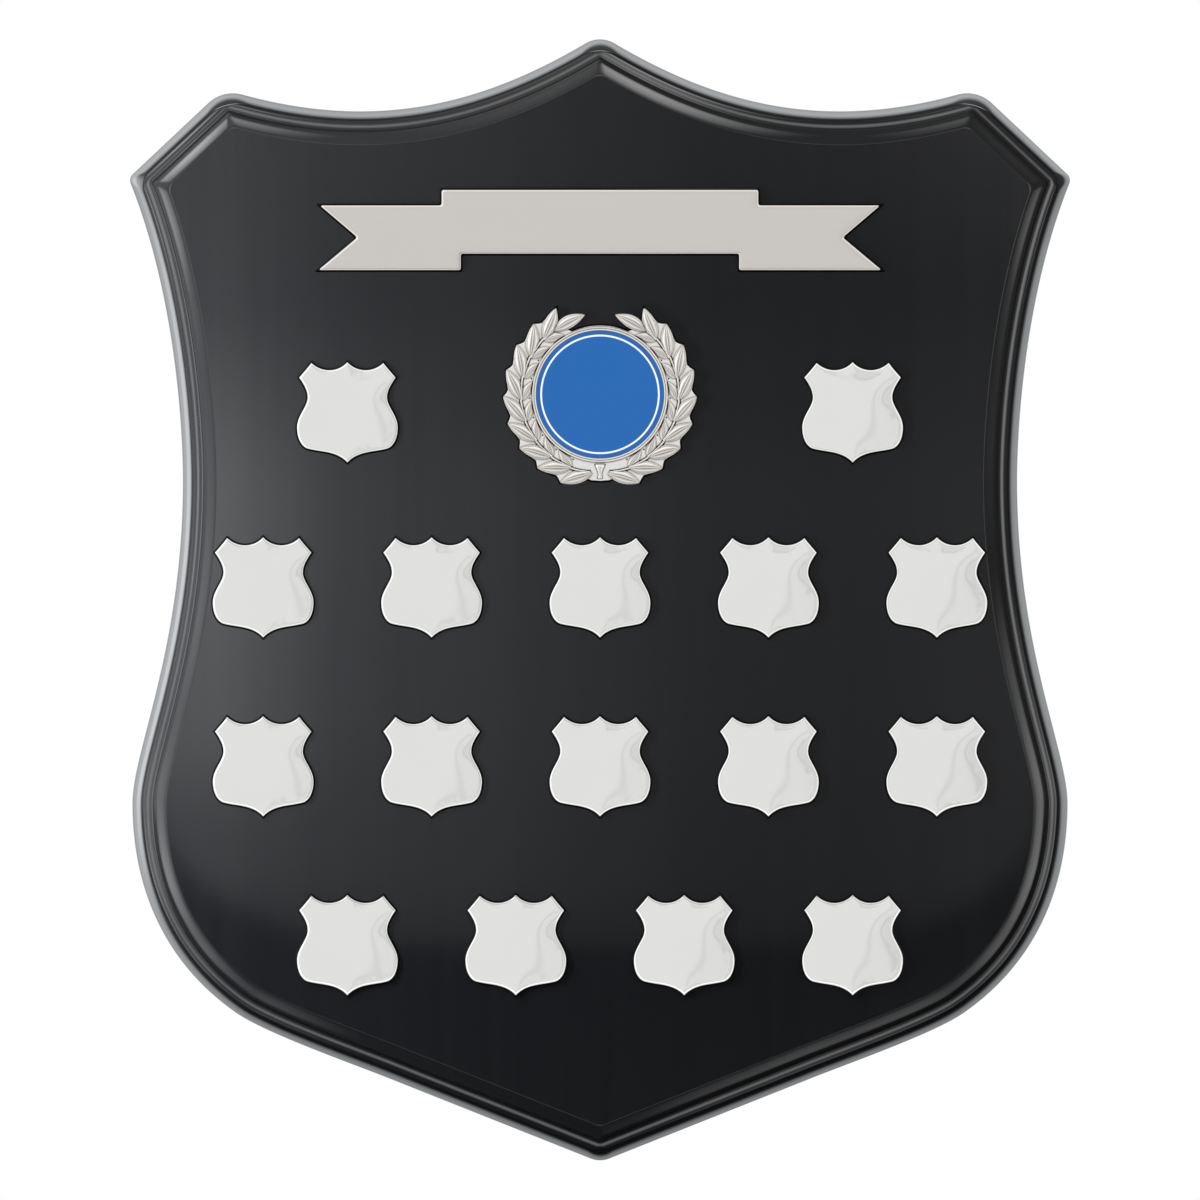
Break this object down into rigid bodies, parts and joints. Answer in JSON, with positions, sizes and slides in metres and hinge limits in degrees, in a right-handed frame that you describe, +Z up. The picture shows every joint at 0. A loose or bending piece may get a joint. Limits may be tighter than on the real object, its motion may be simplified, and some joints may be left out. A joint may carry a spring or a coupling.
{
  "type": "shield plaque",
  "caption": "Wall-hung honour shield: a glossy board with a moulded rim, a ribbon title plate, a laurel wreath round a flat insert, and rows of small shield name plates.",
  "frame": {"origin": "the middle of the board's flat back face, halfway up and halfway across the board", "axes": "+Z up the board to its apex, +Y back into the wall, so the face with the plates looks towards -Y, and +X to the right of a person who looks at the face"},
  "size_m": [0.3524, 0.0214, 0.4203],
  "materials": {
    "black_lacquer": "fibreboard in polished high gloss black lacquer",
    "bright_silver": "pressed sheet steel, bright silver plate",
    "cast_silver": "die-cast, polished silver plate, softly worn in the hollows",
    "printed_blue": "printed satin blue with a fine white ring, on a thin metal disc",
    "white_foam": "double-sided foam tape",
    "clear_film": "double-sided adhesive film",
    "zinc_steel": "bright zinc plated pressed steel"
  },
  "bodies": {
    "root": {"shield_board": "black_lacquer", "keyhole_hanger": "zinc_steel", "hanger_screw_top": "zinc_steel", "hanger_screw_bottom": "zinc_steel", "ribbon_plate": "bright_silver", "ribbon_tape_left": "white_foam", "ribbon_tape_right": "white_foam", "wreath_holder": "cast_silver", "wreath_tape": "white_foam", "insert_film": "clear_film", "round_insert": "printed_blue", "name_shield_01": "bright_silver", "name_pad_01": "white_foam", "name_shield_02": "bright_silver", "name_pad_02": "white_foam", "name_shield_03": "bright_silver", "name_pad_03": "white_foam", "name_shield_04": "bright_silver", "name_pad_04": "white_foam", "name_shield_05": "bright_silver", "name_pad_05": "white_foam", "name_shield_06": "bright_silver", "name_pad_06": "white_foam", "name_shield_07": "bright_silver", "name_pad_07": "white_foam", "name_shield_08": "bright_silver", "name_pad_08": "white_foam", "name_shield_09": "bright_silver", "name_pad_09": "white_foam", "name_shield_10": "bright_silver", "name_pad_10": "white_foam", "name_shield_11": "bright_silver", "name_pad_11": "white_foam", "name_shield_12": "bright_silver", "name_pad_12": "white_foam", "name_shield_13": "bright_silver", "name_pad_13": "white_foam", "name_shield_14": "bright_silver", "name_pad_14": "white_foam", "name_shield_15": "bright_silver", "name_pad_15": "white_foam", "name_shield_16": "bright_silver", "name_pad_16": "white_foam"}
  },
  "joints": []
}
